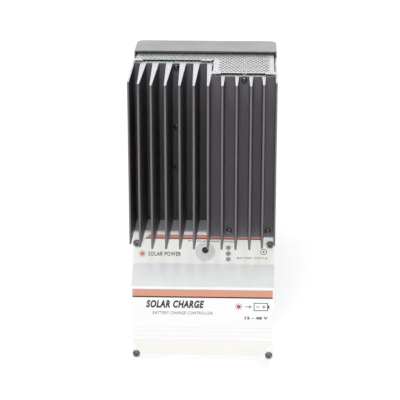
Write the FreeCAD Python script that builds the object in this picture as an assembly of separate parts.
import FreeCAD, Part
import math
import os

# Wall-mounted solar charge controller, in millimetres.
# +Z is up, -Y is the front, and the origin is the middle of the back face that lies on the wall.
# A stepped, finned heat sink is the front and sides of the electronics case, a pressed housing is its back,
# and below them a sheet-metal box with a removable cover holds the wiring terminals.

V = FreeCAD.Vector
X_AXIS = V(1, 0, 0)
Y_AXIS = V(0, 1, 0)
Z_AXIS = V(0, 0, 1)
FRONTWARD = V(0, -1, 0)

# ---- overall sizes
WIDTH = 130.0
DEPTH = 142.0
HEIGHT = 291.0
HALF = WIDTH / 2
TOP = HEIGHT / 2
FRONT = -DEPTH
GAP = 0.4  # assembly gap between sheet-metal parts

# ---- heat sink extrusion: twelve fins, a deep bank on the left and a shallow bank on the right
SINK_TOP = TOP - 5.0
SINK_LENGTH = 150.0
SINK_BOTTOM = SINK_TOP - SINK_LENGTH
SINK_WALL = 1.6
FIN_PITCH = 12.3
EDGE_PITCH = 11.15  # to the outermost free fin of each bank
STEP_X = 5.2  # the fin in line with the step of the base
LEFT_FINS = 4
RIGHT_FINS = 3
FIN_TIP_HALF = 0.85
FIN_TAPER = 0.0264  # growth of the half thickness per millimetre of depth
FIN_ROUND = 0.4
ROOT_ROUND = 0.8
EDGE_FIN_SETBACK = 4.0
WALL_SETBACK = 10.8
LEFT_FLOOR = FRONT + 75.7
LEFT_BASE_BACK = FRONT + 82.5
RIGHT_FLOOR = FRONT + 32.0
RIGHT_BASE_BACK = FRONT + 37.5
STEP_HALF = 1.8  # half thickness of the step wall behind the shallow bank
PORT_R = 3.2
PORT_BORE = 1.4
PORT_INSET = 4.8  # from the inside of a side wall to a screw port's axis
PORTS = (
    (-HALF + PORT_INSET, LEFT_BASE_BACK + 3.3),
    (STEP_X + 5.1, RIGHT_BASE_BACK + 3.5),
    (STEP_X + 5.1, LEFT_BASE_BACK - 9.5),
    (HALF - PORT_INSET, RIGHT_BASE_BACK + 3.5),
)

# ---- countersunk screws of the case, each as (head radius, head depth, shank radius)
SIDE_SCREW = (2.8, 1.4, 1.5)
BACK_SCREW = (2.7, 1.3, 1.5)
VENT_SCREW = (2.4, 1.2, 1.25)
CASE_SCREW_LENGTH = 5.0
VENT_SCREW_LENGTH = 10.0
SIDE_SCREW_Z = (12.0, 68.0, 124.0)
SIDE_SCREW_INSET = 6.0  # in front of the housing's front edge
BACK_SCREWS_X = (-48.0, -16.0, 16.0, 48.0)
BACK_SCREW_Z = -2.5
CASE_SCREW_HOLE_R = 1.6

# ---- screws in the heat sink's channels, which hold the main board
CHANNEL_4_X = -25.55
CHANNEL_8_X = 23.65
CHANNEL_9_X = 35.95
CHANNEL_11_X = 58.4
STUD_R = 1.5
STUD_HEAD_R = 2.75
STUD_HEAD_H = 2.0
STUD_GRIP = 3.4  # how far a channel screw reaches into its standoff
STUD_HOLE = 4.8
STANDOFF_ACROSS = 6.0
BOARD_SCREW_HEAD_R = 2.8
BOARD_SCREW_HEAD_H = 1.9
BOARD_SCREW_R = 1.45
BOARD_SCREW_GRIP = 1.5
BOARD_HOLE_R = 1.6
CHANNEL_SCREW_DROPS = (3.6, 59.5, 98.0)  # below the top end, in the deep bank

# ---- pressed rear housing
HOUSING_FRONT = FRONT + 101.0
HOUSING_T = 1.5
HOUSING_CORNER = 7.0
HOUSING_EDGE = 0.9

# ---- perforated vent cover on the top end
VENT_T = 0.6
VENT_TOP = SINK_TOP + 2.0
VENT_HALF = HALF - 2.6
VENT_TAB_HALF = HALF - 0.5
VENT_TAB_REACH = 3.1
VENT_SHOULDER = 2.0
VENT_UNDER_HOUSING = 12.0
VENT_STEP_INSET = 1.4
LEFT_TABS_X = (-55.8, -3.2)  # inner ends of the tabs over the deep bank's base
RIGHT_TABS_X = (15.4, 54.4)  # the same over the shallow bank's base
VENT_HOLES_X = (-58.3, 57.1)
SHALLOW_HOLES_LEFT = 14.2
HOLES_UNDER_HOUSING = 6.0
DEEP_HOLES_MARGIN = 2.6  # first row of holes behind the deep bank's base
SHALLOW_HOLES_MARGIN = 3.4  # the same for the shallow bank
HOLE_PITCH = 3.87
HOLE_ROW = 4.35
HOLE_R = 1.45
DIMPLE_R = 2.9
GRILLE_T = 1.0
GRILLE_ROWS = 7
GRILLE_COLUMNS = 10
GRILLE_LEFT = 17.0
GRILLE_INSET = 3.2
WEB_CLEARANCE = 1.6

# ---- wiring cover and the box behind it
SHEET = 1.2
PANEL_Y = FRONT + 46.0  # recessed panel with the button and lamps
COVER_Y = FRONT + 22.0  # raised lower face
COVER_TOP = SINK_BOTTOM - GAP
PANEL_BOTTOM = SINK_TOP - 181.7
FOLD_Z = SINK_TOP - 196.0
COVER_BOTTOM = SINK_TOP - 268.0
TOP_FLANGE_Y = LEFT_BASE_BACK - 2.5
BOTTOM_FLANGE_Y = COVER_Y + 16.0
BEND = 2.8
COVER_CORNER = 5.0
BOX_HALF = HALF - 0.2
BOX_BOTTOM = COVER_BOTTOM + SHEET + GAP
FLANGE_HALF = 52.0
FLANGE_CORNER = 6.0
FLANGE_OVERLAP = 2.0
FLANGE_HOLE_X = 44.0
FLANGE_HOLE_Z = -TOP + 8.5
FLANGE_HOLE_R = 2.75
KEYHOLE_X = 44.0
KEYHOLE_Z = 122.0
KEYHOLE_SLOT_R = 2.5
KEYHOLE_HEAD_R = 5.0
KEYHOLE_DROP = 10.0
POCKET_HALF = 8.0
POCKET_DEPTH = 9.0
POCKET_T = 1.0
SCORE_DEPTH = 0.6
SCORE_WIDTH = 0.5
SMALL_KNOCKOUT_R = 14.0
LARGE_KNOCKOUT_R = 17.0
SIDE_KNOCKOUTS = ((-88.0, -96.0, SMALL_KNOCKOUT_R), (-40.0, -92.0, LARGE_KNOCKOUT_R))  # (y, z, radius)
BOTTOM_KNOCKOUT_X = 30.0
BOTTOM_KNOCKOUT_Y = -84.0
SCREW_TAB_X = 55.0  # inner edge of the tabs that the cover screws go into
BACK_TAB_HALF = 56.0
BACK_TAB_DROP = 3.0
BACK_TAB_RISE = 6.0
SCREW_TAB_BELOW = 6.0
SCREW_TAB_ABOVE = 7.0

# ---- cover screws, push button and lamps
SCREW_X = 61.0
UPPER_SCREW_Z = SINK_TOP - 162.4
LOWER_SCREW_Z = SINK_TOP - 262.3
COVER_SCREW_R = 1.75
COVER_SCREW_LENGTH = 7.5
COVER_HEAD_R = 3.4
COVER_HEAD_H = 2.3
BUTTON_X = 1.6
BUTTON_Z = SINK_TOP - 170.0
DISH_R = 9.2
DISH_DEPTH = 3.7
DISH_FLOOR_R = 4.3
BUTTON_R = 2.85
BUTTON_HOLE_R = 3.2
BUTTON_PROUD = 0.6
LED_X = 22.8
LED_Z = SINK_TOP - 171.4
LED_PITCH = 5.65
LED_R = 2.0
LABEL_T = 0.25
LABEL_HALF = 63.8
LABEL_CUT_UPPER = 14.6
LABEL_CUT_LOWER = 11.6
UPPER_LABEL_TOP = SINK_TOP - 153.5
UPPER_LABEL_BOTTOM = SINK_TOP - 181.0
LOWER_LABEL_TOP = SINK_TOP - 197.3
LOWER_LABEL_BOTTOM = SINK_TOP - 262.5

# ---- main board and what it carries
BOARD_FRONT = -53.6
BOARD_T = 1.6
BOARD_BACK = BOARD_FRONT + BOARD_T
BOARD_LEFT = -56.0
BOARD_RIGHT = 61.2
BOARD_TOP = 140.3
BOARD_BOTTOM = -80.0
DIVIDER_TOP = COVER_TOP - SHEET - GAP
DIVIDER_T = 1.0
DIVIDER_FRONT = PANEL_Y + 3.4
DIVIDER_BACK = -4.0
DIVIDER_LIP = 9.0
DIVIDER_LIP_Y = (-88.0, -10.0)
STATUS_FRONT = -84.0
STATUS_BACK = STATUS_FRONT + 1.6

# ---- wiring terminals
CELL_PITCH = 20.0
FIRST_CELL_X = -51.0
CELLS = 4
LUG_HALF = 7.5
LUG_FRONT = -81.0
LUG_BACK = -58.0
LUG_TOP = -53.0
LUG_BOTTOM = -73.0
WIRE_R = 5.2
WIRE_Y = -65.5
CLAMP_R = 4.05
CLAMP_Z = (LUG_TOP + LUG_BOTTOM) / 2
BLOCK_TOP = -47.0
BLOCK_BOTTOM = -77.0
BLOCK_WALL = 2.2
STRAP_T = 1.6
STRAP_HALF = 4.5
STRAP_BOTTOM = -74.0
LUG_FOOT_HALF = 4.0

# ---- configuration switches
DIP_LEFT = -58.0
DIP_WIDTH = 21.6
DIP_Z = -31.0
DIP_HEIGHT = 10.0
DIP_COUNT = 8
DIP_PITCH = 2.54
DIP_DEPTH = 3.8
DIP_SLOT_HALF = 0.75
DIP_SLOT_REACH = 2.2
LEVER_HALF = 0.6
LEVER_FRONT = 4.7
LEVER_BACK = 2.15
LEVER_HEIGHT = 2.4


def box(x0, x1, y0, y1, z0, z1):
    """A block between two corners."""
    return Part.makeBox(x1 - x0, y1 - y0, z1 - z0, V(x0, y0, z0))


def rod(radius, start, axis, length):
    """A cylinder from a start point along an axis."""
    return Part.makeCylinder(radius, length, V(*start), axis)


def plate_z(points, z0, z1):
    """A flat outline in XY, raised from z0 to z1."""
    wire = Part.makePolygon([V(x, y, z0) for x, y in [*points, points[0]]])
    return Part.Face(wire).extrude(V(0, 0, z1 - z0))


def plate_x(points, x0, x1):
    """A flat outline in YZ, carried from x0 to x1."""
    wire = Part.makePolygon([V(x0, y, z) for y, z in [*points, points[0]]])
    return Part.Face(wire).extrude(V(x1 - x0, 0, 0))


def plate_y(points, y0, y1):
    """A flat outline in XZ, carried from y0 to y1."""
    wire = Part.makePolygon([V(x, y0, z) for x, z in [*points, points[0]]])
    return Part.Face(wire).extrude(V(0, y1 - y0, 0))


def joined(shapes):
    """One solid made of touching or overlapping ones, with seams between flush faces removed."""
    first, *rest = shapes
    return first.multiFuse(rest).removeSplitter()


def along(shape, axis, test):
    """The straight edges that run along an axis and whose middle passes a test."""
    found = []
    for edge in shape.Edges:
        if not isinstance(edge.Curve, (Part.Line, Part.LineSegment)):
            continue
        run = edge.Vertexes[-1].Point - edge.Vertexes[0].Point
        if abs(run.normalize().dot(axis)) > 0.999 and test(edge.CenterOfMass):
            found.append(edge)
    return found


def facing(shape, place, axis):
    """A shape built at the origin looking along +Z, turned to look along an axis and put in place."""
    turned = shape.copy()
    turned.Placement = FreeCAD.Placement(V(*place), FreeCAD.Rotation(Z_AXIS, axis))
    return turned


def cross_recess(width, arm, depth, top):
    """The cross-shaped driver recess of a screw, sunk from a given height."""
    bar = box(-arm, arm, -width / 2, width / 2, top - depth, top + 1)
    return bar.fuse(box(-width / 2, width / 2, -arm, arm, top - depth, top + 1))


def pan_screw(place, axis, head_r, head_h, shank_r, shank):
    """A pan-head screw seated at a place, with its head towards the axis."""
    head = Part.makeCylinder(head_r, head_h)
    rim = [e for e in head.Edges if e.CenterOfMass.z > head_h / 2 and len(e.Vertexes) == 1]
    head = head.makeFillet(head_h * 0.45, rim)
    screw = joined([head, Part.makeCylinder(shank_r, shank, V(0, 0, -shank))])
    screw = screw.cut(cross_recess(head_r * 0.26, head_r * 0.6, head_h * 0.62, head_h))
    return facing(screw, place, axis)


def flat_screw(place, axis, head_r, head_h, shank_r, shank):
    """A countersunk screw whose flat head is flush with the place."""
    head = Part.makeCone(shank_r, head_r, head_h, V(0, 0, -head_h))
    screw = joined([head, Part.makeCylinder(shank_r, shank, V(0, 0, -shank))])
    screw = screw.cut(cross_recess(head_r * 0.26, head_r * 0.6, head_h * 0.7, 0))
    return facing(screw, place, axis)


def countersink(place, axis, head_r, head_h, shank_r, through):
    """The hole that a countersunk screw drops into, 0.1 mm clear all round."""
    cone = Part.makeCone(shank_r + 0.1, head_r + 0.1, head_h, V(0, 0, -head_h))
    hole = joined([cone, Part.makeCylinder(shank_r + 0.1, through + 0.5, V(0, 0, -through))])
    return facing(hole, place, axis)


def hexagon(across, place, axis, length):
    """A hexagonal bar, given across its flats."""
    r = across / math.sqrt(3)
    points = [(r * math.cos(math.radians(a)), r * math.sin(math.radians(a))) for a in range(0, 360, 60)]
    return facing(plate_z(points, 0, length), place, axis)


# ---------------------------------------------------------------- heat sink


def fin_half(y, tip):
    """Half thickness of a fin at a depth, from its tip's."""
    return FIN_TIP_HALF + FIN_TAPER * (y - tip)


def fin(x, tip, floor):
    """One tapered fin, from its tip to a little way into the base."""
    root = fin_half(floor + 1, tip)
    points = [(x - FIN_TIP_HALF, tip), (x + FIN_TIP_HALF, tip), (x + root, floor + 1), (x - root, floor + 1)]
    return plate_z(points, SINK_BOTTOM, SINK_TOP)


def fin_places():
    """(x, tip, floor) of every free fin, from left to right."""
    left_edge = STEP_X - LEFT_FINS * FIN_PITCH - EDGE_PITCH
    right_edge = STEP_X + RIGHT_FINS * FIN_PITCH + EDGE_PITCH
    places = [(left_edge, FRONT + EDGE_FIN_SETBACK, LEFT_FLOOR)]
    for k in range(-LEFT_FINS, RIGHT_FINS + 1):
        floor = LEFT_FLOOR if k < 0 else RIGHT_FLOOR
        places.append((STEP_X + k * FIN_PITCH, FRONT, floor))
    places.append((right_edge, FRONT + EDGE_FIN_SETBACK, RIGHT_FLOOR))
    return places


def board_screw_places():
    """(x, z, floor of the channel, where the standoff behind the base starts)."""
    return (
        *((CHANNEL_4_X, SINK_TOP - drop, LEFT_FLOOR, LEFT_BASE_BACK) for drop in CHANNEL_SCREW_DROPS),
        (CHANNEL_9_X, SINK_TOP - 3.2, RIGHT_FLOOR, RIGHT_BASE_BACK),
        (CHANNEL_8_X, SINK_BOTTOM + 6.0, RIGHT_FLOOR, RIGHT_BASE_BACK),
        (CHANNEL_11_X, SINK_BOTTOM + 6.0, RIGHT_FLOOR, PORTS[3][1] + PORT_R + 0.2),
    )


def side_screw_places():
    """(side, y, z) of the countersunk screws that join the side walls to the housing."""
    return [(side, HOUSING_FRONT - SIDE_SCREW_INSET, z) for side in (-1, 1) for z in SIDE_SCREW_Z]


def heatsink():
    wall_tip = FRONT + WALL_SETBACK
    wall_back = HOUSING_FRONT - GAP
    inner = HALF - SINK_WALL
    step_root = fin_half(LEFT_FLOOR, FRONT)
    step = [
        (STEP_X - FIN_TIP_HALF, FRONT),
        (STEP_X + FIN_TIP_HALF, FRONT),
        (STEP_X + STEP_HALF, RIGHT_FLOOR + 1),
        (STEP_X + STEP_HALF, LEFT_BASE_BACK),
        (STEP_X - step_root, LEFT_BASE_BACK),
        (STEP_X - step_root, LEFT_FLOOR),
    ]
    pieces = [
        box(-HALF, -inner, wall_tip, wall_back, SINK_BOTTOM, SINK_TOP),
        box(inner, HALF, wall_tip, wall_back, SINK_BOTTOM, SINK_TOP),
        box(-inner - 0.5, STEP_X, LEFT_FLOOR, LEFT_BASE_BACK, SINK_BOTTOM, SINK_TOP),
        box(STEP_X, inner + 0.5, RIGHT_FLOOR, RIGHT_BASE_BACK, SINK_BOTTOM, SINK_TOP),
        plate_z(step, SINK_BOTTOM, SINK_TOP),
    ]
    pieces += [fin(x, tip, floor) for x, tip, floor in fin_places() if x != STEP_X]
    for x, y in PORTS:
        pieces.append(rod(PORT_R, (x, y, SINK_BOTTOM), Z_AXIS, SINK_LENGTH))
    webs = (
        (-inner - 0.2, PORTS[0][0], LEFT_BASE_BACK - 1, PORTS[0][1]),
        (STEP_X, PORTS[1][0], RIGHT_BASE_BACK - 1, PORTS[1][1]),
        (STEP_X, PORTS[2][0], PORTS[2][1] - 1.2, PORTS[2][1] + 1.2),
        (PORTS[3][0], inner + 0.2, RIGHT_BASE_BACK - 1, PORTS[3][1]),
    )
    pieces += [box(x0, x1, y0, y1, SINK_BOTTOM, SINK_TOP) for x0, x1, y0, y1 in webs]
    sink = joined(pieces)
    tips = {FRONT, FRONT + EDGE_FIN_SETBACK, wall_tip}
    roots = {LEFT_FLOOR, RIGHT_FLOOR}
    sink = sink.makeFillet(FIN_ROUND, along(sink, Z_AXIS, lambda p: min(abs(p.y - t) for t in tips) < 0.01))
    sink = sink.makeFillet(ROOT_ROUND, along(sink, Z_AXIS, lambda p: min(abs(p.y - r) for r in roots) < 0.01))
    tools = [rod(PORT_BORE, (x, y, SINK_BOTTOM - 1), Z_AXIS, SINK_LENGTH + 2) for x, y in PORTS]
    for x, z, floor, behind in board_screw_places():
        tools.append(rod(STUD_R + 0.1, (x, floor - 1, z), Y_AXIS, behind - floor + 2))
    for side, y, z in side_screw_places():
        tools.append(countersink((side * HALF, y, z), V(side, 0, 0), *SIDE_SCREW, 4))
    return sink.cut(Part.makeCompound(tools))


def heatsink_screws():
    screws = []
    for x, z, floor, behind in board_screw_places():
        shank = behind - floor + STUD_GRIP
        screws.append(pan_screw((x, floor, z), FRONTWARD, STUD_HEAD_R, STUD_HEAD_H, STUD_R, shank))
    return screws


def board_standoffs():
    posts = []
    for x, z, floor, behind in board_screw_places():
        post = hexagon(STANDOFF_ACROSS, (x, behind, z), Y_AXIS, BOARD_FRONT - behind)
        post = post.cut(rod(STUD_R + 0.1, (x, behind - 1, z), Y_AXIS, STUD_HOLE))
        back_hole = rod(BOARD_SCREW_R + 0.1, (x, BOARD_FRONT - BOARD_SCREW_GRIP - 0.3, z), Y_AXIS, 3)
        posts.append(post.cut(back_hole))
    return posts


def board_screws():
    shank = BOARD_T + BOARD_SCREW_GRIP
    return [
        pan_screw((x, BOARD_BACK, z), Y_AXIS, BOARD_SCREW_HEAD_R, BOARD_SCREW_HEAD_H, BOARD_SCREW_R, shank)
        for x, z, _, _ in board_screw_places()
    ]


# ---------------------------------------------------------------- top vent cover


def vent_outline():
    """The vent cover follows the stepped base, with a tab over the base at both ends of each bank."""
    left = LEFT_BASE_BACK + 0.2
    right = RIGHT_BASE_BACK + 0.2
    back = HOUSING_FRONT + VENT_UNDER_HOUSING
    left_tabs = left - VENT_TAB_REACH
    right_tabs = right - VENT_TAB_REACH
    step = STEP_X + VENT_STEP_INSET
    inner = STEP_X + STEP_HALF + VENT_STEP_INSET
    return [
        (-VENT_HALF, back),
        (-VENT_HALF, left + VENT_SHOULDER),
        (-VENT_TAB_HALF, left + VENT_SHOULDER),
        (-VENT_TAB_HALF, left_tabs),
        (LEFT_TABS_X[0], left_tabs),
        (LEFT_TABS_X[0], left),
        (LEFT_TABS_X[1], left),
        (LEFT_TABS_X[1], left_tabs),
        (step, left_tabs),
        (step, left - 0.5),
        (inner, left - 0.5),
        (inner, right + VENT_SHOULDER),
        (step, right + VENT_SHOULDER),
        (step, right_tabs),
        (RIGHT_TABS_X[0], right_tabs),
        (RIGHT_TABS_X[0], right),
        (RIGHT_TABS_X[1], right),
        (RIGHT_TABS_X[1], right_tabs),
        (VENT_TAB_HALF, right_tabs),
        (VENT_TAB_HALF, right + VENT_SHOULDER),
        (VENT_HALF, right + VENT_SHOULDER),
        (VENT_HALF, back),
    ]


def vent_holes():
    """Round holes in staggered rows over both parts of the cover."""
    last_row = HOUSING_FRONT + HOLES_UNDER_HOUSING
    deep_front = LEFT_BASE_BACK + DEEP_HOLES_MARGIN
    shallow_front = RIGHT_BASE_BACK + SHALLOW_HOLES_MARGIN
    right_end = VENT_HOLES_X[1]
    holes = []
    for row in range(int((last_row - shallow_front) / HOLE_ROW) + 1):
        y = last_row - row * HOLE_ROW
        shift = HOLE_PITCH / 2 if row % 2 else 0.0
        low = VENT_HOLES_X[0] if y >= deep_front else SHALLOW_HOLES_LEFT
        for col in range(int((right_end - VENT_HOLES_X[0]) / HOLE_PITCH) + 1):
            x = right_end - shift - col * HOLE_PITCH
            if x >= low:
                holes.append(rod(HOLE_R, (x, y, VENT_TOP - VENT_T - 1), Z_AXIS, VENT_T + 2))
    return holes


def vent_cover():
    sheet = plate_z(vent_outline(), VENT_TOP - VENT_T, VENT_TOP)
    dimples = [rod(DIMPLE_R, (x, y, SINK_TOP), Z_AXIS, VENT_TOP - SINK_TOP - VENT_T / 2) for x, y in PORTS]
    sheet = joined([sheet, *dimples])
    tools = vent_holes()
    for x, y in PORTS:
        tools.append(countersink((x, y, VENT_TOP), Z_AXIS, *VENT_SCREW, 4))
    return sheet.cut(Part.makeCompound(tools))


def vent_cover_screws():
    return [flat_screw((x, y, VENT_TOP), Z_AXIS, *VENT_SCREW, VENT_SCREW_LENGTH) for x, y in PORTS]


def intake_grille():
    """The perforated floor of the space behind the shallow fin bank, where cooling air comes in."""
    left = STEP_X + STEP_HALF + 0.3
    right = HALF - SINK_WALL - 0.3
    front = RIGHT_BASE_BACK + 0.3
    back = LEFT_BASE_BACK
    plate = box(left, right, front, back, SINK_BOTTOM, SINK_BOTTOM + GRILLE_T)
    tools = [rod(PORT_R + 0.3, (x, y, SINK_BOTTOM - 1), Z_AXIS, 3) for x, y in PORTS]
    low, high = SINK_BOTTOM - 1, SINK_BOTTOM + 2
    for x, y in (PORTS[1], PORTS[3]):
        xs = sorted((x, math.copysign(HALF, x - HALF / 2)))
        tools.append(box(*xs, front - 1, y, low, high))
    web_y = PORTS[2][1]
    tools.append(box(left - 1, PORTS[2][0], web_y - WEB_CLEARANCE, web_y + WEB_CLEARANCE, low, high))
    for row in range(GRILLE_ROWS):
        shift = HOLE_PITCH / 2 if row % 2 else 0.0
        for col in range(GRILLE_COLUMNS):
            x = GRILLE_LEFT + shift + col * HOLE_PITCH
            tools.append(rod(HOLE_R, (x, front + GRILLE_INSET + row * HOLE_ROW, low), Z_AXIS, high - low))
    return plate.cut(Part.makeCompound(tools))


# ---------------------------------------------------------------- rear housing


def rounded_block(half, y0, y1, z0, z1, corner, edge):
    """A block with round upright corners at the back and a small round along its top edges."""
    block = box(-half, half, y0, y1, z0, z1)
    block = block.makeFillet(corner, along(block, Z_AXIS, lambda p: abs(p.y - y1) < 0.01))
    level = [e for e in block.Edges if abs(e.BoundBox.ZMin - z1) < 0.01 and abs(e.BoundBox.ZMax - z1) < 0.01]
    rim = [e for e in level if e.BoundBox.YMax > y0 + 0.01]
    return block.makeFillet(edge, rim)


def keyhole(x):
    """A round entry with a narrow slot above it."""
    entry = rod(KEYHOLE_HEAD_R, (x, -HOUSING_T - 1, KEYHOLE_Z - KEYHOLE_DROP), Y_AXIS, HOUSING_T + 2)
    seat = rod(KEYHOLE_SLOT_R, (x, -HOUSING_T - 1, KEYHOLE_Z), Y_AXIS, HOUSING_T + 2)
    low = KEYHOLE_Z - KEYHOLE_DROP
    slot = box(x - KEYHOLE_SLOT_R, x + KEYHOLE_SLOT_R, -HOUSING_T - 1, 1, low, KEYHOLE_Z)
    return joined([entry, slot, seat])



def rear_housing():
    outer = rounded_block(HALF, HOUSING_FRONT, 0, SINK_BOTTOM, TOP, HOUSING_CORNER, HOUSING_EDGE)
    inner = rounded_block(
        HALF - HOUSING_T, HOUSING_FRONT - 1, -HOUSING_T, SINK_BOTTOM - 1, TOP - HOUSING_T,
        HOUSING_CORNER - HOUSING_T, 0.3)
    shell = outer.cut(inner)
    reach = HOUSING_FRONT - 12
    strip_out = HALF - SINK_WALL - 0.2
    strip_in = strip_out - HOUSING_T
    strips = []
    for side in (-1, 1):
        xs = sorted((side * strip_in, side * strip_out))
        joggle = sorted((side * strip_in, side * (HALF - 0.2)))
        strips.append(box(*xs, reach, HOUSING_FRONT + 2, SINK_BOTTOM + 6, TOP - 12))
        strips.append(box(*joggle, HOUSING_FRONT, HOUSING_FRONT + 2, SINK_BOTTOM + 6, TOP - 12))
    shell = joined([shell, *strips])
    tools = [keyhole(-KEYHOLE_X), keyhole(KEYHOLE_X)]
    for side, y, z in side_screw_places():
        tools.append(rod(CASE_SCREW_HOLE_R, (side * (strip_in - 1), y, z), V(side, 0, 0), HOUSING_T + 2))
    for x in BACK_SCREWS_X:
        tools.append(countersink((x, 0, BACK_SCREW_Z), Y_AXIS, *BACK_SCREW, 3))
    return shell.cut(Part.makeCompound(tools))


def side_screws():
    return [
        flat_screw((side * HALF, y, z), V(side, 0, 0), *SIDE_SCREW, CASE_SCREW_LENGTH)
        for side, y, z in side_screw_places()
    ]


def back_screws():
    return [flat_screw((x, 0, BACK_SCREW_Z), Y_AXIS, *BACK_SCREW, CASE_SCREW_LENGTH) for x in BACK_SCREWS_X]


def keyhole_pockets():
    """Cups behind the keyholes, so that a wall screw's head stays out of the electronics."""
    cups = []
    for x in (-KEYHOLE_X, KEYHOLE_X):
        low = KEYHOLE_Z - KEYHOLE_DROP - POCKET_HALF
        high = KEYHOLE_Z + POCKET_HALF - POCKET_T
        cup = box(x - POCKET_HALF, x + POCKET_HALF, -POCKET_DEPTH, -HOUSING_T, low, high)
        inner = POCKET_HALF - POCKET_T
        hollow = box(x - inner, x + inner, POCKET_T - POCKET_DEPTH, 0, low + POCKET_T, high - POCKET_T)
        cups.append(cup.cut(hollow))
    return cups


# ---------------------------------------------------------------- wiring cover and box


def shifted_path(points, distance):
    """An open path moved sideways, to its left, with mitred corners."""
    normals = []
    for (y0, z0), (y1, z1) in zip(points, points[1:]):
        length = math.hypot(y1 - y0, z1 - z0)
        normals.append(((z0 - z1) / length, (y1 - y0) / length))
    normals = [normals[0], *normals, normals[-1]]
    moved = []
    for (y, z), (a, b), (c, d) in zip(points, normals, normals[1:]):
        scale = distance / (1 + a * c + b * d)
        moved.append((y + (a + c) * scale, z + (b + d) * scale))
    return moved


def cover_path():
    """The cover's outer face from the side: top flange, panel, slope, lower face and bottom flange."""
    return [
        (TOP_FLANGE_Y, COVER_TOP),
        (PANEL_Y, COVER_TOP),
        (PANEL_Y, PANEL_BOTTOM),
        (COVER_Y, FOLD_Z),
        (COVER_Y, COVER_BOTTOM),
        (BOTTOM_FLANGE_Y, COVER_BOTTOM),
    ]


def cover_screw_places():
    """(x, z, seat) of the four cover screws."""
    return [
        (side * SCREW_X, z, seat)
        for z, seat in ((UPPER_SCREW_Z, PANEL_Y), (LOWER_SCREW_Z, COVER_Y))
        for side in (-1, 1)
    ]


def button_dish():
    """The conical dish pressed in around the button, with the button's hole in its floor."""
    rim = DISH_R + 1.0
    back = SHEET * 0.9
    points = [
        (DISH_R, PANEL_Y),
        (DISH_FLOOR_R, PANEL_Y + DISH_DEPTH),
        (BUTTON_HOLE_R, PANEL_Y + DISH_DEPTH),
        (BUTTON_HOLE_R, PANEL_Y + DISH_DEPTH + back),
        (DISH_FLOOR_R + 0.4, PANEL_Y + DISH_DEPTH + back),
        (rim - 0.2, PANEL_Y + SHEET),
        (rim, PANEL_Y + SHEET),
        (rim, PANEL_Y),
    ]
    wire = Part.makePolygon([V(BUTTON_X + r, y, BUTTON_Z) for r, y in [*points, points[0]]])
    return Part.Face(wire).revolve(V(BUTTON_X, 0, BUTTON_Z), Y_AXIS, 360)


def round_bends(sheet, path, inner):
    """Rounds each bend of the folded sheet on both of its faces."""
    for k in range(1, len(path) - 1):
        (y0, z0), (y1, z1), (y2, z2) = path[k - 1], path[k], path[k + 1]
        turn = (y1 - y0) * (z2 - z1) - (z1 - z0) * (y2 - y1)
        outer_r, inner_r = (BEND, BEND - SHEET) if turn > 0 else (BEND - SHEET, BEND)
        for (y, z), radius in ((path[k], outer_r), (inner[k], inner_r)):
            edges = along(sheet, X_AXIS, lambda p: abs(p.y - y) < 0.01 and abs(p.z - z) < 0.01)
            sheet = sheet.makeFillet(radius, edges)
    return sheet


def wiring_cover():
    path = cover_path()
    inner = shifted_path(path, SHEET)
    sheet = plate_x([*path, *reversed(inner)], -HALF, HALF)
    sheet = round_bends(sheet, path, inner)
    front_view = box(-HALF, HALF, FRONT, 0, COVER_BOTTOM, COVER_TOP)
    corners = along(front_view, Y_AXIS, lambda p: abs(p.z - COVER_BOTTOM) < 0.01)
    sheet = sheet.common(front_view.makeFillet(COVER_CORNER, corners))
    flange_half = BOX_HALF - SHEET - 0.8
    tools = [rod(DISH_R + 1.0, (BUTTON_X, PANEL_Y - 1, BUTTON_Z), Y_AXIS, SHEET + 2)]
    for side in (-1, 1):
        xs = sorted((side * flange_half, side * (HALF + 1)))
        tools.append(box(*xs, PANEL_Y + BEND, TOP_FLANGE_Y + 1, COVER_TOP - 3, COVER_TOP + 1))
        tools.append(rod(0.9, (side * flange_half, PANEL_Y + BEND, COVER_TOP - 3), Z_AXIS, 4))
    for x, z, seat in cover_screw_places():
        tools.append(rod(COVER_SCREW_R + 0.35, (x, seat - 1, z), Y_AXIS, SHEET + 2))
    for k in (-1, 0, 1):
        tools.append(rod(LED_R + 0.2, (LED_X, PANEL_Y - 1, LED_Z + k * LED_PITCH), Y_AXIS, SHEET + 2))
    sheet = sheet.cut(Part.makeCompound(tools))
    return joined([sheet, button_dish()])


def label_holes(seat):
    """What is cut out of a label: the lamps, the dish and the round under each screw head."""
    tools = [rod(DISH_R + 0.15, (BUTTON_X, seat - 1, BUTTON_Z), Y_AXIS, 2)]
    for k in (-1, 0, 1):
        tools.append(rod(LED_R + 0.2, (LED_X, seat - 1, LED_Z + k * LED_PITCH), Y_AXIS, 2))
    tools += [rod(COVER_HEAD_R + 0.6, (x, seat - 1, z), Y_AXIS, 2) for x, z, _ in cover_screw_places()]
    return Part.makeCompound(tools)


def upper_label():
    cut = LABEL_CUT_UPPER
    half = LABEL_HALF
    outline = [
        (-half + cut, UPPER_LABEL_TOP),
        (-half, UPPER_LABEL_TOP - cut),
        (-half, UPPER_LABEL_BOTTOM),
        (half, UPPER_LABEL_BOTTOM),
        (half, UPPER_LABEL_TOP - cut),
        (half - cut, UPPER_LABEL_TOP),
    ]
    return plate_y(outline, PANEL_Y - LABEL_T, PANEL_Y).cut(label_holes(PANEL_Y))


def lower_label():
    cut = LABEL_CUT_LOWER
    half = LABEL_HALF
    outline = [
        (-half, LOWER_LABEL_TOP),
        (-half, LOWER_LABEL_BOTTOM + cut),
        (-half + cut, LOWER_LABEL_BOTTOM),
        (half - cut, LOWER_LABEL_BOTTOM),
        (half, LOWER_LABEL_BOTTOM + cut),
        (half, LOWER_LABEL_TOP),
    ]
    return plate_y(outline, COVER_Y - LABEL_T, COVER_Y)


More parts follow.
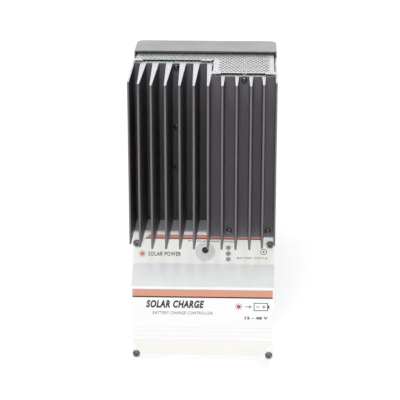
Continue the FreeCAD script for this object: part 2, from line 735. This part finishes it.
def cover_screws():
    size = (COVER_HEAD_R, COVER_HEAD_H, COVER_SCREW_R, COVER_SCREW_LENGTH)
    return [pan_screw((x, seat, z), FRONTWARD, *size) for x, z, seat in cover_screw_places()]


def knockout_ring(place, axis, radius):
    """The scored line round a cable knock-out."""
    start = V(*place) - axis * SCORE_DEPTH
    outside = Part.makeCylinder(radius + SCORE_WIDTH, SCORE_DEPTH + 1, start, axis)
    return outside.cut(Part.makeCylinder(radius, SCORE_DEPTH + 1, start, axis))


def rounded_below(half, y0, y1, z0, z1, corner):
    """A block whose two lower edges that run front to back are rounded."""
    block = box(-half, half, y0, y1, z0, z1)
    return block.makeFillet(corner, along(block, Y_AXIS, lambda p: abs(p.z - z0) < 0.01))


def wiring_box():
    inner = shifted_path(cover_path(), SHEET + GAP)
    front_low = inner[4][0]
    relief = PANEL_Y + BEND + 0.5
    bend_cut = BEND - SHEET
    profile = [
        (0, COVER_TOP),
        (relief, COVER_TOP),
        (relief, inner[1][1]),
        (inner[1][0] + bend_cut, inner[1][1]),
        (inner[1][0], inner[1][1] - bend_cut),
        inner[2],
        inner[3],
        (front_low, BOX_BOTTOM + bend_cut),
        (front_low + bend_cut, BOX_BOTTOM),
        (0, BOX_BOTTOM),
    ]
    outer = rounded_below(BOX_HALF, front_low, 0, BOX_BOTTOM, COVER_TOP, COVER_CORNER - GAP)
    inner_corner = COVER_CORNER - GAP - SHEET
    hollow = rounded_below(
        BOX_HALF - SHEET, front_low - 1, -SHEET, BOX_BOTTOM + SHEET, COVER_TOP + 1, inner_corner)
    tray = outer.cut(hollow)
    pieces = [tray.common(plate_x(profile, -BOX_HALF, BOX_HALF))]
    tabs = []
    for side in (-1, 1):
        xs = sorted((side * SCREW_TAB_X, side * (BOX_HALF - SHEET / 2)))
        upper = (UPPER_SCREW_Z - SCREW_TAB_BELOW, UPPER_SCREW_Z + SCREW_TAB_ABOVE)
        lower = (BOX_BOTTOM + bend_cut, LOWER_SCREW_Z + SCREW_TAB_ABOVE)
        tabs.append(box(*xs, inner[1][0], inner[1][0] + SHEET, *upper))
        tabs.append(box(*xs, front_low, front_low + SHEET, *lower))
    pieces += [tab.common(outer) for tab in tabs]
    back = -SHEET
    flange = box(-FLANGE_HALF, FLANGE_HALF, back, 0, -TOP, BOX_BOTTOM + FLANGE_OVERLAP)
    pieces.append(flange.makeFillet(FLANGE_CORNER, along(flange, Y_AXIS, lambda p: abs(p.z + TOP) < 0.01)))
    tab_y = -HOUSING_T - 0.1 - SHEET
    tab_low = COVER_TOP - BACK_TAB_DROP
    tab_high = BACK_SCREW_Z + BACK_TAB_RISE
    pieces.append(box(-BACK_TAB_HALF, BACK_TAB_HALF, tab_y, back, tab_low, COVER_TOP - 0.2))
    pieces.append(box(-BACK_TAB_HALF, BACK_TAB_HALF, tab_y, tab_y + SHEET, tab_low, tab_high))
    shell = joined(pieces)
    tools = [rod(FLANGE_HOLE_R, (side * FLANGE_HOLE_X, -3, FLANGE_HOLE_Z), Y_AXIS, 6) for side in (-1, 1)]
    for x in BACK_SCREWS_X:
        tools.append(rod(CASE_SCREW_HOLE_R, (x, tab_y - 1, BACK_SCREW_Z), Y_AXIS, SHEET + 1.05))
    for x, z, seat in cover_screw_places():
        tools.append(rod(COVER_SCREW_R + 0.1, (x, seat, z), Y_AXIS, 6))
    for side in (-1, 1):
        for y, z, radius in SIDE_KNOCKOUTS:
            tools.append(knockout_ring((side * BOX_HALF, y, z), V(side, 0, 0), radius))
        place = (side * BOTTOM_KNOCKOUT_X, BOTTOM_KNOCKOUT_Y, BOX_BOTTOM)
        tools.append(knockout_ring(place, -Z_AXIS, LARGE_KNOCKOUT_R))
    return shell.cut(Part.makeCompound(tools))


def divider_plate():
    """The shelf between the electronics and the wiring space, slotted for the main board."""
    half = BOX_HALF - SHEET - GAP
    low = DIVIDER_TOP - DIVIDER_T
    pieces = [box(-half, half, DIVIDER_FRONT, DIVIDER_BACK, low, DIVIDER_TOP)]
    for side in (-1, 1):
        xs = sorted((side * (half - DIVIDER_T), side * half))
        pieces.append(box(*xs, *DIVIDER_LIP_Y, low - DIVIDER_LIP, DIVIDER_TOP))
    slot = box(BOARD_LEFT - 1, BOARD_RIGHT + 1, BOARD_FRONT - 1, BOARD_BACK + 1, low - 1, DIVIDER_TOP + 1)
    return joined(pieces).cut(slot)


# ---------------------------------------------------------------- boards and electronics


def main_board():
    board = box(BOARD_LEFT, BOARD_RIGHT, BOARD_FRONT, BOARD_BACK, BOARD_BOTTOM, BOARD_TOP)
    holes = [
        rod(BOARD_HOLE_R, (x, BOARD_FRONT - 1, z), Y_AXIS, BOARD_T + 2)
        for x, z, _, _ in board_screw_places()
    ]
    return board.cut(Part.makeCompound(holes))


TRANSISTOR_X = (-44.0, -25.6, -7.2)
TRANSISTOR_Z = (108.0, 61.0, 22.0)
TRANSISTOR_HALF_WIDTH = 7.9
TRANSISTOR_HALF_HEIGHT = 10.5
TRANSISTOR_T = 4.9
LEG_PITCH = 5.4
LEG_HALF = 0.6
LEG_DROP = 13.0  # from the middle of the package to the foot of its legs
LEG_RISE = 2.2  # from the package's mounting face to its legs
LEG_T = 0.7
THERMAL_T = 0.3
THERMAL_MARGIN = 9.0
THERMAL_HALF_HEIGHT = 11.0


def power_transistors():
    """Flat power transistors on the back of the deep bank's base, with three legs to the board."""
    parts = []
    front = LEFT_BASE_BACK + THERMAL_T
    half_wide, half_high = TRANSISTOR_HALF_WIDTH, TRANSISTOR_HALF_HEIGHT
    leg_front = front + LEG_RISE
    for z in TRANSISTOR_Z:
        for x in TRANSISTOR_X:
            sides = (x - half_wide, x + half_wide)
            body = box(*sides, front, front + TRANSISTOR_T, z - half_high, z + half_high)
            foot = z - LEG_DROP
            legs = []
            for k in (-1, 0, 1):
                leg_x = x + k * LEG_PITCH
                width = (leg_x - LEG_HALF, leg_x + LEG_HALF)
                legs.append(box(*width, leg_front, BOARD_FRONT, foot, foot + 2 * LEG_HALF))
                legs.append(box(*width, leg_front, leg_front + LEG_T, foot, z - half_high + 0.5))
            parts.append(joined([body, *legs]))
    return parts


def thermal_pads():
    xs = (TRANSISTOR_X[0] - THERMAL_MARGIN, TRANSISTOR_X[-1] + THERMAL_MARGIN)
    ys = (LEFT_BASE_BACK, LEFT_BASE_BACK + THERMAL_T)
    return [box(*xs, *ys, z - THERMAL_HALF_HEIGHT, z + THERMAL_HALF_HEIGHT) for z in TRANSISTOR_Z]


CAN_X = (26.0, 50.0)
CAN_R = 11.0
CAN_LENGTH = 43.0
CAN_ROWS = 4
CAN_Z = 21.0
CAN_PITCH = 25.5


def bulk_capacitors():
    """Two columns of tall cans in the deep space behind the shallow fin bank."""
    cans = []
    for x in CAN_X:
        for row in range(CAN_ROWS):
            can = rod(CAN_R, (x, BOARD_FRONT - CAN_LENGTH, CAN_Z + CAN_PITCH * row), Y_AXIS, CAN_LENGTH - 0.2)
            rim = [e for e in can.Edges if len(e.Vertexes) == 1]
            cans.append(can.makeFillet(0.9, rim))
    return cans


INDUCTOR_X = (-30.0, 31.0)
INDUCTOR_Z = 70.0
INDUCTOR_Y = -38.0
INDUCTOR_H = 26.0
CORE_INNER_R = 14.0
CORE_OUTER_R = 24.0
CORE_INSET = 3.0  # from the winding's flat faces to the core's
WINDING_T = 2.5
WINDING_TURNS = 28
GROOVE_HALF = 0.35
GROOVE_R = 25.4
BOLT_R = 3.0
BOLT_PROUD = 6.0
WASHER_R = 17.0
WASHER_T = 1.5
NUT_ACROSS = 10.0
NUT_H = 4.5


def ring(x, inner_r, outer_r, inset):
    """A ring about an inductor's axis, set back by an inset from both faces of the winding."""
    y0 = INDUCTOR_Y + inset
    length = INDUCTOR_H - 2 * inset
    outside = rod(outer_r, (x, y0, INDUCTOR_Z), Y_AXIS, length)
    return outside.cut(rod(inner_r, (x, y0 - 1, INDUCTOR_Z), Y_AXIS, length + 2))


def inductor_cores():
    return [ring(x, CORE_INNER_R, CORE_OUTER_R, CORE_INSET) for x in INDUCTOR_X]


def inductor_windings():
    """Wire wound round each core, with a groove between neighbouring turns."""
    coils = []
    back = INDUCTOR_Y + INDUCTOR_H
    for x in INDUCTOR_X:
        coil = ring(x, CORE_INNER_R - WINDING_T, CORE_OUTER_R + WINDING_T, 0)
        coil = coil.cut(ring(x, CORE_INNER_R - 0.1, CORE_OUTER_R + 0.1, CORE_INSET - 0.1))
        grooves = []
        for turn in range(WINDING_TURNS):
            groove = box(GROOVE_R, GROOVE_R + WINDING_T, -GROOVE_HALF, GROOVE_HALF, INDUCTOR_Y - 1, back + 1)
            groove.rotate(V(0, 0, 0), Z_AXIS, 360.0 * turn / WINDING_TURNS)
            groove.rotate(V(0, 0, 0), X_AXIS, -90)
            groove.translate(V(x, 0, INDUCTOR_Z))
            grooves.append(groove)
        coils.append(coil.cut(Part.makeCompound(grooves)))
    return coils


def inductor_bolts():
    """A stud and a dished washer that hold each inductor to the housing's back wall."""
    bolts = []
    for x in INDUCTOR_X:
        end = INDUCTOR_Y - BOLT_PROUD
        seat = INDUCTOR_Y - WASHER_T - 0.2
        stud = rod(BOLT_R, (x, end, INDUCTOR_Z), Y_AXIS, -HOUSING_T - end)
        washer = rod(WASHER_R, (x, seat, INDUCTOR_Z), Y_AXIS, WASHER_T)
        nut = hexagon(NUT_ACROSS, (x, seat - NUT_H, INDUCTOR_Z), Y_AXIS, NUT_H)
        bolts.append(joined([stud, washer, nut]))
    return bolts


# ---------------------------------------------------------------- power terminals


def cell_x(k):
    return FIRST_CELL_X + k * CELL_PITCH


def terminal_housing():
    left = FIRST_CELL_X - CELL_PITCH / 2
    right = left + CELLS * CELL_PITCH
    front = LUG_FRONT - 1
    wall = BLOCK_WALL / 2
    pieces = [
        box(left, right, LUG_BACK, BOARD_FRONT - STRAP_T - 0.2, BLOCK_BOTTOM, BLOCK_TOP),
        box(left, right, front, LUG_BACK, BLOCK_TOP - BLOCK_WALL, BLOCK_TOP),
    ]
    for k in range(CELLS + 1):
        x = left + k * CELL_PITCH
        xs = (max(x - wall, left), min(x + wall, right))
        pieces.append(box(*xs, front, LUG_BACK, BLOCK_BOTTOM, BLOCK_TOP))
    for k in (1, CELLS - 1):
        x = left + k * CELL_PITCH
        pieces.append(box(x - wall, x + wall, LUG_BACK, BOARD_FRONT, BLOCK_TOP - 9, BLOCK_TOP - 2))
    housing = joined(pieces)
    reach = LUG_FOOT_HALF + 0.1
    windows = []
    for k in range(CELLS):
        xs = (cell_x(k) - reach, cell_x(k) + reach)
        windows.append(box(*xs, LUG_BACK - 1, BOARD_FRONT - 1, CLAMP_Z - reach, CLAMP_Z + reach))
    return housing.cut(Part.makeCompound(windows))


def terminal_lugs():
    """Box lugs: the cable goes up the round hole, and the clamp screw comes in from the front."""
    lugs = []
    for k in range(CELLS):
        x = cell_x(k)
        lug = box(x - LUG_HALF, x + LUG_HALF, LUG_FRONT, LUG_BACK - 0.2, LUG_BOTTOM, LUG_TOP)
        lug = lug.makeFillet(1.0, along(lug, Y_AXIS, lambda p: True))
        sides = (x - LUG_FOOT_HALF, x + LUG_FOOT_HALF)
        foot_z = (CLAMP_Z - LUG_FOOT_HALF, CLAMP_Z + LUG_FOOT_HALF)
        lug = joined([lug, box(*sides, LUG_BACK - 1, BOARD_FRONT - STRAP_T, *foot_z)])
        lug = lug.cut(rod(WIRE_R, (x, WIRE_Y, LUG_BOTTOM - 1), Z_AXIS, LUG_TOP - LUG_BOTTOM + 2))
        lugs.append(lug.cut(rod(CLAMP_R, (x, LUG_FRONT - 1, CLAMP_Z), Y_AXIS, WIRE_Y - LUG_FRONT + 1)))
    return lugs


def bus_straps():
    straps = []
    for k in range(CELLS):
        xs = (cell_x(k) - STRAP_HALF, cell_x(k) + STRAP_HALF)
        straps.append(box(*xs, BOARD_FRONT - STRAP_T, BOARD_FRONT, STRAP_BOTTOM, BLOCK_TOP - 10))
    return straps


PAD_BACK = WIRE_Y - WIRE_R - 0.3
PAD_T = 1.6
CLAMP_PROUD = 3.2
CLAMP_SLOT_HALF = 0.6
CLAMP_SLOT_DEPTH = 1.8


def terminal_pad(k):
    """The pressure pad on the end of a clamp screw."""
    return rod(CLAMP_R - 0.35, (cell_x(k), PAD_BACK - PAD_T, CLAMP_Z), Y_AXIS, PAD_T)


def terminal_screw(k):
    """A slotted clamp screw, drawn with plain flanks."""
    start = LUG_FRONT - CLAMP_PROUD
    screw = rod(CLAMP_R - 0.08, (cell_x(k), start, CLAMP_Z), Y_AXIS, PAD_BACK - PAD_T - 0.1 - start)
    rim = [e for e in screw.Edges if len(e.Vertexes) == 1 and e.CenterOfMass.y < start + 1]
    screw = screw.makeFillet(0.5, rim)
    xs = (cell_x(k) - CLAMP_R, cell_x(k) + CLAMP_R)
    zs = (CLAMP_Z - CLAMP_SLOT_HALF, CLAMP_Z + CLAMP_SLOT_HALF)
    return screw.cut(box(*xs, start - 1, start + CLAMP_SLOT_DEPTH, *zs))


# ---------------------------------------------------------------- small connectors


WAYS = 4
WAY_PITCH = 3.8
SMALL_LEFT = -32.0
SMALL_FIRST_X = SMALL_LEFT + 2.3
SMALL_WIDTH = 16.0
SMALL_HALF_HEIGHT = 5.5
SMALL_DEPTH = 11.0
SMALL_SCREW_RISE = 2.2
SMALL_SCREW_HOLE_R = 1.5
SMALL_SCREW_R = 1.4
SMALL_SLOT_HALF = 0.2
PORT_HALF = 1.3
PORT_LOW = -4.3
PORT_HIGH = -1.5
SENSE_Z = -38.0
DATA_Z = -23.0


def four_way_terminal(z):
    """A four-way screw terminal, with its wire ports under its screws."""
    front = BOARD_FRONT - SMALL_DEPTH
    low, high = z - SMALL_HALF_HEIGHT, z + SMALL_HALF_HEIGHT
    block = box(SMALL_LEFT, SMALL_LEFT + SMALL_WIDTH, front, BOARD_FRONT, low, high)
    tools = []
    for k in range(WAYS):
        x = SMALL_FIRST_X + k * WAY_PITCH
        xs = (x - PORT_HALF, x + PORT_HALF)
        tools.append(box(*xs, front - 1, BOARD_FRONT - 4, z + PORT_LOW, z + PORT_HIGH))
        tools.append(rod(SMALL_SCREW_HOLE_R, (x, front - 1, z + SMALL_SCREW_RISE), Y_AXIS, 4))
    return block.cut(Part.makeCompound(tools))


def small_terminals():
    return [four_way_terminal(z) for z in (SENSE_Z, DATA_Z)]


def small_terminal_screws():
    screws = []
    head = BOARD_FRONT - SMALL_DEPTH + 0.6
    for z in (SENSE_Z, DATA_Z):
        for k in range(WAYS):
            x = SMALL_FIRST_X + k * WAY_PITCH
            middle = z + SMALL_SCREW_RISE
            screw = rod(SMALL_SCREW_R, (x, head, middle), Y_AXIS, 2.4)
            slot_z = (middle - SMALL_SLOT_HALF, middle + SMALL_SLOT_HALF)
            screws.append(screw.cut(box(x - SMALL_SCREW_R, x + SMALL_SCREW_R, head - 1, head + 0.6, *slot_z)))
    return screws


def dip_x(k):
    return DIP_LEFT + DIP_WIDTH / 2 + (k - (DIP_COUNT - 1) / 2) * DIP_PITCH


def dip_switch_body():
    low, high = DIP_Z - DIP_HEIGHT / 2, DIP_Z + DIP_HEIGHT / 2
    body = box(DIP_LEFT, DIP_LEFT + DIP_WIDTH, BOARD_FRONT - DIP_DEPTH, BOARD_FRONT, low, high)
    slots = []
    for k in range(DIP_COUNT):
        xs = (dip_x(k) - DIP_SLOT_HALF, dip_x(k) + DIP_SLOT_HALF)
        zs = (DIP_Z - DIP_SLOT_REACH, DIP_Z + DIP_SLOT_REACH)
        slots.append(box(*xs, BOARD_FRONT - DIP_DEPTH - 1, BOARD_FRONT - 2.0, *zs))
    return body.cut(Part.makeCompound(slots))


def dip_lever(k):
    """One slide of the switch bank, at the lower end of its slot."""
    low = DIP_Z - DIP_SLOT_REACH + 0.15
    xs = (dip_x(k) - LEVER_HALF, dip_x(k) + LEVER_HALF)
    return box(*xs, BOARD_FRONT - LEVER_FRONT, BOARD_FRONT - LEVER_BACK, low, low + LEVER_HEIGHT)


JACK_FLOOR = 2.4
JACK_END = 3.0
LATCH_HALF = 2.0
LATCH_DEPTH = 1.6


def jack(left, width, height, low, depth, port_width, port_height):
    """A modular jack on the board, open downwards, with the latch notch of its plug."""
    front = BOARD_FRONT - height
    body = box(left, left + width, front, BOARD_FRONT, low, low + depth)
    mid = left + width / 2
    port_y = BOARD_FRONT - JACK_FLOOR - port_height
    half = port_width / 2
    port = box(mid - half, mid + half, port_y, port_y + port_height, low - 1, low + depth - JACK_END)
    latch = port_y - LATCH_DEPTH
    notch = box(mid - LATCH_HALF, mid + LATCH_HALF, latch, port_y + 1, low - 1, low + depth - 2 * JACK_END)
    return body.cut(port).cut(notch)


def network_jack():
    return jack(24.0, 16.0, 13.6, BLOCK_BOTTOM, 19.0, 11.9, 7.9)


def meter_jack():
    return jack(45.0, 13.2, 12.0, BLOCK_BOTTOM, 17.0, 9.8, 6.8)


SERIAL_X = 46.6
SERIAL_Z = -37.5
SERIAL_HALF = 15.2
SERIAL_HALF_HEIGHT = 6.2
SERIAL_BASE = 4.5  # from the board to the connector's flange
SHELL_FRONT = 10.4
D_WIDE = 8.9
D_NARROW = 7.6
D_HALF_HEIGHT = 4.4
D_WALL = 0.7
JACKPOST_X = 12.5
JACKPOST_ACROSS = 4.6
JACKPOST_H = 4.0
PIN_R = 0.5
PIN_PITCH = 2.77
PIN_ROWS = ((1.42, 5), (-1.42, 4))  # (height above the middle, count)


def d_outline(wall):
    """The connector's D shape, set in by a wall thickness."""
    wide, narrow, height = D_WIDE - wall, D_NARROW - wall, D_HALF_HEIGHT - wall
    return [
        (SERIAL_X - wide, SERIAL_Z + height),
        (SERIAL_X - narrow, SERIAL_Z - height),
        (SERIAL_X + narrow, SERIAL_Z - height),
        (SERIAL_X + wide, SERIAL_Z + height),
    ]


def serial_port():
    """A nine-pin D connector: flange, shell and insulator in one piece."""
    face = BOARD_FRONT - SERIAL_BASE
    xs = (SERIAL_X - SERIAL_HALF, SERIAL_X + SERIAL_HALF)
    zs = (SERIAL_Z - SERIAL_HALF_HEIGHT, SERIAL_Z + SERIAL_HALF_HEIGHT)
    flange = box(*xs, face, BOARD_FRONT, *zs)
    shell = plate_y(d_outline(0), BOARD_FRONT - SHELL_FRONT, face + 0.5)
    hollow = plate_y(d_outline(D_WALL), BOARD_FRONT - SHELL_FRONT - 1, face - D_WALL)
    body = joined([flange, shell]).cut(hollow)
    posts = []
    for side in (-1, 1):
        place = (SERIAL_X + side * JACKPOST_X, face, SERIAL_Z)
        posts.append(hexagon(JACKPOST_ACROSS, place, FRONTWARD, JACKPOST_H))
    return joined([body, *posts])


def serial_port_pins():
    pins = []
    front = BOARD_FRONT - SHELL_FRONT + 1
    length = BOARD_FRONT - SERIAL_BASE - D_WALL - front
    for rise, count in PIN_ROWS:
        for k in range(count):
            x = SERIAL_X + (k - (count - 1) / 2) * PIN_PITCH
            pins.append(rod(PIN_R, (x, front, SERIAL_Z + rise), Y_AXIS, length))
    return pins


GROUND_X = 46.0
GROUND_Z = -98.0
GROUND_HALF = 6.0
GROUND_FRONT = -14.0
GROUND_HOLE_R = 2.6
GROUND_WIRE_Y = -6.5
GROUND_SCREW = (4.2, 2.4, 2.5, 5.4)  # head radius and height, shank radius and length
GROUND_GAP = 1.2  # an open clamp: the head stands this far off the lug


def ground_lug():
    """The earth terminal on the back wall of the wiring box."""
    xs = (GROUND_X - GROUND_HALF, GROUND_X + GROUND_HALF)
    zs = (GROUND_Z - GROUND_HALF, GROUND_Z + GROUND_HALF)
    lug = box(*xs, GROUND_FRONT, -SHEET, *zs)
    lug = lug.cut(rod(GROUND_HOLE_R, (GROUND_X, GROUND_WIRE_Y, zs[0] - 1), Z_AXIS, 2 * GROUND_HALF + 2))
    return lug.cut(rod(GROUND_HOLE_R, (GROUND_X, GROUND_FRONT - 1, GROUND_Z), Y_AXIS, 7))


def ground_screw():
    return pan_screw((GROUND_X, GROUND_FRONT - GROUND_GAP, GROUND_Z), FRONTWARD, *GROUND_SCREW)


# ---------------------------------------------------------------- status board


STATUS_LEFT = -10.0
STATUS_RIGHT = 30.0
STATUS_LOW = -43.0
STATUS_HIGH = -14.0
STATUS_POST_R = 2.5
STATUS_POSTS = ((-6.0, -18.0), (26.0, -18.0), (10.0, -40.0))
HEADER_LEFT = 4.0
HEADER_RIGHT = 18.0
HEADER_LOW = -31.0
HEADER_HIGH = -26.0
SWITCH_HALF = 3.0
SWITCH_DEPTH = 3.6
SWITCH_BORE = 1.8
CAP_LENGTH = 3.4
STEM_R = 1.55


def status_board():
    return box(STATUS_LEFT, STATUS_RIGHT, STATUS_FRONT, STATUS_BACK, STATUS_LOW, STATUS_HIGH)


def status_standoffs():
    length = BOARD_FRONT - STATUS_BACK
    return [rod(STATUS_POST_R, (x, STATUS_BACK, z), Y_AXIS, length) for x, z in STATUS_POSTS]


def board_link_header():
    """The tall pin header that joins the status board to the main board."""
    return box(HEADER_LEFT, HEADER_RIGHT, STATUS_BACK, BOARD_FRONT, HEADER_LOW, HEADER_HIGH)


def switch_body():
    front = STATUS_FRONT - SWITCH_DEPTH
    xs = (BUTTON_X - SWITCH_HALF, BUTTON_X + SWITCH_HALF)
    zs = (BUTTON_Z - SWITCH_HALF, BUTTON_Z + SWITCH_HALF)
    body = box(*xs, front, STATUS_FRONT, *zs)
    return body.cut(rod(SWITCH_BORE, (BUTTON_X, front - 1, BUTTON_Z), Y_AXIS, SWITCH_DEPTH - 0.6))


def push_button():
    front = PANEL_Y + DISH_DEPTH - BUTTON_PROUD
    cap = rod(BUTTON_R, (BUTTON_X, front, BUTTON_Z), Y_AXIS, CAP_LENGTH)
    rim = [e for e in cap.Edges if len(e.Vertexes) == 1 and e.CenterOfMass.y < front + 1]
    cap = cap.makeFillet(0.5, rim)
    stem = STATUS_FRONT - SWITCH_DEPTH + 0.4 - (front + CAP_LENGTH - 0.4)
    return joined([cap, rod(STEM_R, (BUTTON_X, front + CAP_LENGTH - 0.4, BUTTON_Z), Y_AXIS, stem)])


def status_leds():
    """Three lamp lenses that reach from the status board to the face of the label."""
    lamps = []
    front = PANEL_Y - LABEL_T
    for k in (-1, 0, 1):
        lamps.append(rod(LED_R, (LED_X, front, LED_Z + k * LED_PITCH), Y_AXIS, STATUS_FRONT - front))
    return lamps


SINGLE = {
    "heatsink": heatsink,
    "vent_cover": vent_cover,
    "rear_housing": rear_housing,
    "wiring_cover": wiring_cover,
    "upper_label": upper_label,
    "lower_label": lower_label,
    "wiring_box": wiring_box,
    "divider_plate": divider_plate,
    "main_board": main_board,
    "terminal_housing": terminal_housing,
    "intake_grille": intake_grille,
    "dip_switch_body": dip_switch_body,
    "network_jack": network_jack,
    "meter_jack": meter_jack,
    "serial_port": serial_port,
    "ground_lug": ground_lug,
    "ground_screw": ground_screw,
    "status_board": status_board,
    "board_link_header": board_link_header,
    "switch_body": switch_body,
    "push_button": push_button,
}

SEVERAL = {
    "heatsink_screws": heatsink_screws,
    "board_standoffs": board_standoffs,
    "board_screws": board_screws,
    "vent_cover_screws": vent_cover_screws,
    "side_screws": side_screws,
    "back_screws": back_screws,
    "keyhole_pockets": keyhole_pockets,
    "cover_screws": cover_screws,
    "power_transistors": power_transistors,
    "thermal_pads": thermal_pads,
    "bulk_capacitors": bulk_capacitors,
    "inductor_cores": inductor_cores,
    "inductor_windings": inductor_windings,
    "inductor_bolts": inductor_bolts,
    "terminal_lugs": terminal_lugs,
    "bus_straps": bus_straps,
    "small_terminals": small_terminals,
    "small_terminal_screws": small_terminal_screws,
    "serial_port_pins": serial_port_pins,
    "status_standoffs": status_standoffs,
    "status_leds": status_leds,
}


def build():
    """Every node's shape by name."""
    nodes = {name: make() for name, make in SINGLE.items()}
    nodes.update({name: Part.makeCompound(make()) for name, make in SEVERAL.items()})
    for k in range(CELLS):
        nodes[f"terminal_pad_{k + 1}"] = terminal_pad(k)
        nodes[f"terminal_screw_{k + 1}"] = terminal_screw(k)
    for k in range(DIP_COUNT):
        nodes[f"dip_lever_{k + 1}"] = dip_lever(k)
    return nodes


def write(nodes):
    os.makedirs("parts", exist_ok=True)
    for name, shape in sorted(nodes.items()):
        solids = shape.Solids
        sound = all(s.isValid() and s.isClosed() and s.Volume > 0 for s in solids)
        shape.exportStep(f"parts/{name}.step")
        state = "sound" if sound else "FAULTY"
        print(f"{name:24s} solids {len(solids):3d}  volume {shape.Volume / 1000:9.3f} cm3  {state}")


write(build())
